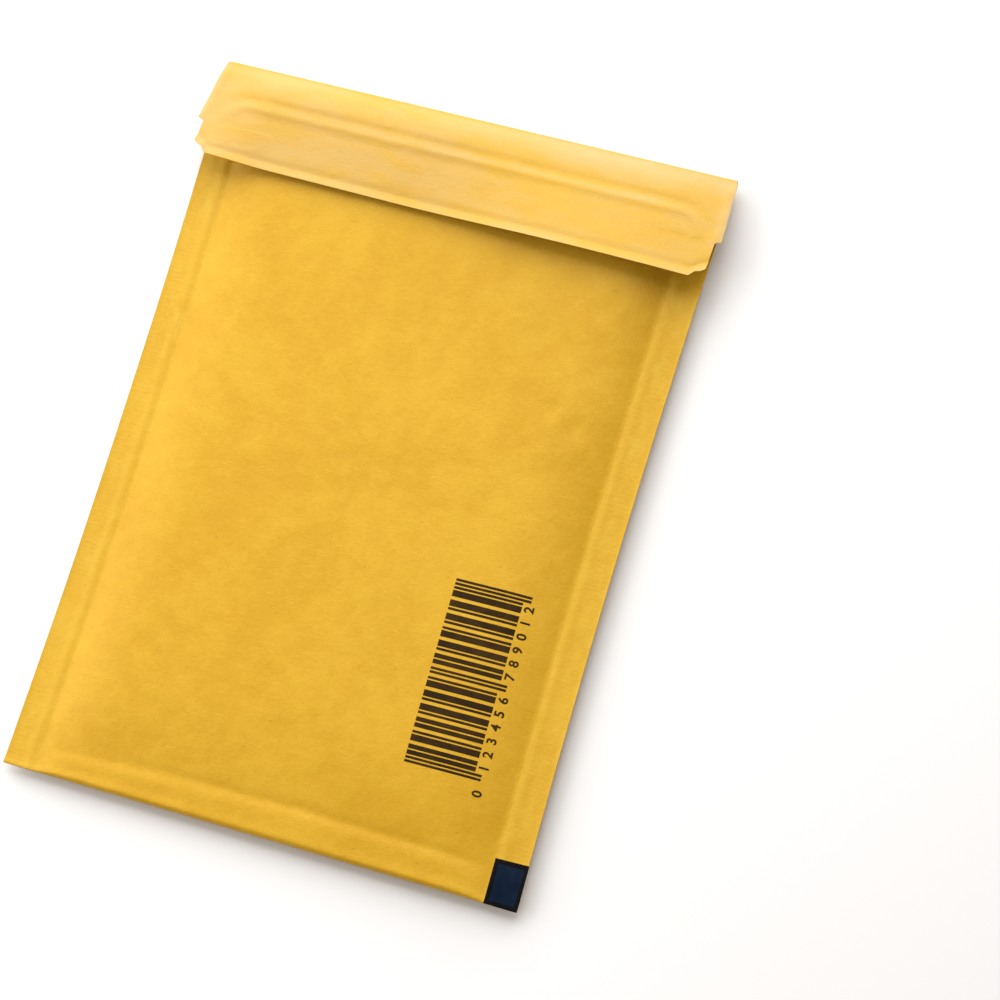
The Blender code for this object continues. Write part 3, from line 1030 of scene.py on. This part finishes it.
def film_nodes():
    """Rows of low domes over a flat film, all in one plane."""
    tree = bpy.data.node_groups.new("bubble_film", "GeometryNodeTree")
    face = tree.interface
    for name in ("Across", "Rows"):
        face.new_socket(name, in_out="INPUT", socket_type="NodeSocketInt")
    for name in ("Width", "Length", "Bubble", "Height"):
        face.new_socket(name, in_out="INPUT", socket_type="NodeSocketFloat")
    face.new_socket("Geometry", in_out="OUTPUT", socket_type="NodeSocketGeometry")
    entry = tree.nodes.new("NodeGroupInput")
    given = {socket.name: Value(tree, socket) for socket in entry.outputs if socket.name}
    index = add(tree, "GeometryNodeInputIndex")
    row = (index / given["Across"]).math("FLOOR")
    column = index - row * given["Across"]
    odd = row.math("MODULO", 2)
    pitch = (given["Width"] - given["Bubble"]) / (given["Across"] - 0.5)
    drop_y = (given["Length"] - given["Bubble"]) / (given["Rows"] - 1)
    x = (column + odd * 0.5 + 0.25 - given["Across"] * 0.5) * pitch
    y = row * drop_y + given["Bubble"] * 0.5
    where = add(tree, "ShaderNodeCombineXYZ", {}, {"X": x, "Y": y, "Z": FILM * 0.5})
    points = {"Count": given["Across"] * given["Rows"], "Position": where}
    line = add(tree, "GeometryNodePoints", {}, points)
    ball = {"Segments": BALL_SEGMENTS, "Rings": BALL_RINGS, "Radius": 0.5}
    sphere = add(tree, "GeometryNodeMeshUVSphere", {}, ball)
    stretch = {"X": given["Bubble"], "Y": given["Bubble"], "Z": given["Height"] * 2}
    size = add(tree, "ShaderNodeCombineXYZ", {}, stretch)
    placed = {"Points": line, "Instance": sphere, "Scale": size}
    bubbles = add(tree, "GeometryNodeInstanceOnPoints", {}, placed)
    real = add(tree, "GeometryNodeRealizeInstances", {}, {"Geometry": bubbles})
    done = add(tree, "GeometryNodeSetMaterial", {}, {"Geometry": real, "Material": film_paint})
    leave = tree.nodes.new("NodeGroupOutput")
    feed(tree, leave.inputs["Geometry"], done)
    return tree


def film_room(u, y, angle):
    """Half the pocket's gap, and the thickness left for the film."""
    slope = FRONT_SLOPE if angle > 0 else BACK_SLOPE
    room = pad_height(u, y, slope) - PAPER - LINING_CLEAR
    gap = min(POCKET / 2, room / 4)
    return gap, room - gap


def fold_film(point):
    """From the flat sheet to the folded one: x across, y along the sheet, z its height."""
    x, s, h = point
    u = x / (WIDTH / 2)
    along = min(max((s - half_run) / LINING_BAND, 0), 1)
    angle = math.pi * (0.5 - along)
    y = film_top - s if s < half_run else film_turn + max(s - half_run - LINING_BAND, 0)
    y = max(y, film_turn)
    gap, thick = film_room(u, y, angle)
    reach = gap + thick * min(h / FILM_TOP, 1)
    y -= reach * math.cos(angle)
    return Vector((u * half_width(y), y, PAD_HALF + reach * math.sin(angle)))


def flat_film(bm):
    """The base film: a closed sheet under the bubbles, split finely enough to fold."""
    length = 2 * half_run + LINING_BAND
    band_end = half_run + LINING_BAND
    marks = [0.0] + spaced(0, half_run, FILM_ROWS)
    marks += spaced(half_run, band_end, FILM_BAND_ROWS) + spaced(band_end, length, FILM_ROWS)
    places = [-film_half] + spaced(-film_half, film_half, FILM_COLUMNS)
    for h in (0, FILM):
        rows = [[bm.verts.new((x, s, h)) for x in places] for s in marks]
        for low, high in zip(rows, rows[1:]):
            for i in range(len(places) - 1):
                bm.faces.new((low[i], low[i + 1], high[i + 1], high[i]))
    bmesh.ops.bridge_loops(bm, edges=[edge for edge in bm.edges if edge.is_boundary])


film = bmesh.new()
flat_film(film)
bubble_inputs = {"Across": BUBBLE_ACROSS, "Rows": BUBBLE_HALF_ROWS, "Bubble": BUBBLE_WIDE}
bubble_inputs |= {"Width": 2 * film_half, "Length": half_run, "Height": FILM_TOP - FILM}
for start in (0, half_run + LINING_BAND):
    half = made_by(film_nodes(), "bubbles", bubble_inputs)
    # The lower half of each ball is pressed flat, inside the base film.
    for vert in half.vertices:
        vert.co.z = max(vert.co.z, FILM * 0.4)
        vert.co.y += start
    film.from_mesh(half)
    bpy.data.meshes.remove(half)
for vert in film.verts:
    vert.co = fold_film(vert.co)
lining = new_piece("bubble_film", film, film_paint)
ride(lining, "bubble_film", "bubble_lining")
print("film faces", len(lining.data.polygons))

# %% [markdown]
# A band of pressure-sensitive glue crosses the inside of the flap, and release paper covers it
# until the envelope is closed. Both are strips that follow the flap's underside.

# %% Glue and release paper
GLUE_MARGIN = 0.0055
GLUE_WIDTH = 0.011
GLUE_THICK = 0.0003
LINER_OVERHANG = 0.0015
LINER_THICK = 0.0002
LINER_END = 0.009
STRIP_GAP = 0.00012
STRIP_COLUMNS, STRIP_ROWS = 110, 16


def glue():
    made, tree, shader = principled("cloudy_glue")
    place = add(tree, "ShaderNodeTexCoord", out="Object")
    cloud = grain(tree, place, 120, 4, 0.6)
    streak = grain(tree, stretched(tree, place, (1, 8, 1)), 160, 3, 0.6)
    colour = mixed(tree, cloud, (0.80, 0.76, 0.60, 1), (0.90, 0.88, 0.78, 1))
    feed(tree, shader.inputs["Base Color"], colour)
    feed(tree, shader.inputs["Roughness"], 0.30 + streak * 0.25)
    feed(tree, shader.inputs["Normal"], bumped(tree, streak + cloud, 0.0002, 0.6))
    return made


def release_paper():
    made, tree, shader = principled("release_paper")
    place = add(tree, "ShaderNodeTexCoord", out="Object")
    fibre = grain(tree, stretched(tree, place, (1, 3, 3), (0, 0, 0.3)), 700, 3, 0.6)
    cloud = grain(tree, place, 70, 3, 0.6)
    colour = mixed(tree, cloud * 0.6 + fibre * 0.4, (0.80, 0.79, 0.73, 1), (0.90, 0.90, 0.87, 1))
    feed(tree, shader.inputs["Base Color"], colour)
    feed(tree, shader.inputs["Roughness"], 0.28 + fibre * 0.14)
    feed(tree, shader.inputs["Normal"], bumped(tree, fibre + cloud, 0.0001, 0.4))
    return made


def flap_strip(name, near, far, below, thick, paint):
    """A closed strip along the inside of the flap, between two depths from the crease."""
    end = 1 - LINER_END / (WIDTH / 2)
    places = [-end] + spaced(-end, end, STRIP_COLUMNS)
    depths = [near] + spaced(near, far, STRIP_ROWS)
    bm = bmesh.new()
    rows = [[bm.verts.new(flap_point(u, depth, below)) for u in places] for depth in depths]
    for low, high in zip(rows, rows[1:]):
        for k in range(len(places) - 1):
            bm.faces.new((low[k], low[k + 1], high[k + 1], high[k]))
    grown = bmesh.ops.extrude_face_region(bm, geom=bm.faces[:], use_keep_orig=True)["geom"]
    lowered = [item for item in grown if isinstance(item, bmesh.types.BMVert)]
    bmesh.ops.translate(bm, verts=lowered, vec=(0, 0, -thick))
    return new_piece(name, bm, paint)


glue_far = FLAP - GLUE_MARGIN
glue_near = glue_far - GLUE_WIDTH
glue_below = PAPER + STRIP_GAP
liner_below = glue_below + GLUE_THICK + STRIP_GAP
strip = flap_strip("glue_strip", glue_near, glue_far, glue_below, GLUE_THICK, glue())
ride(strip, "glue", "adhesive_strip")
covered = glue_near - LINER_OVERHANG, glue_far + LINER_OVERHANG
cover = flap_strip("release_strip", *covered, liner_below, LINER_THICK, release_paper())
ride(cover, "liner_paper", "release_liner")
near, far = (round(depth * 1000, 1) for depth in covered)
print("strips from", near, "to", far, "mm below the crease")
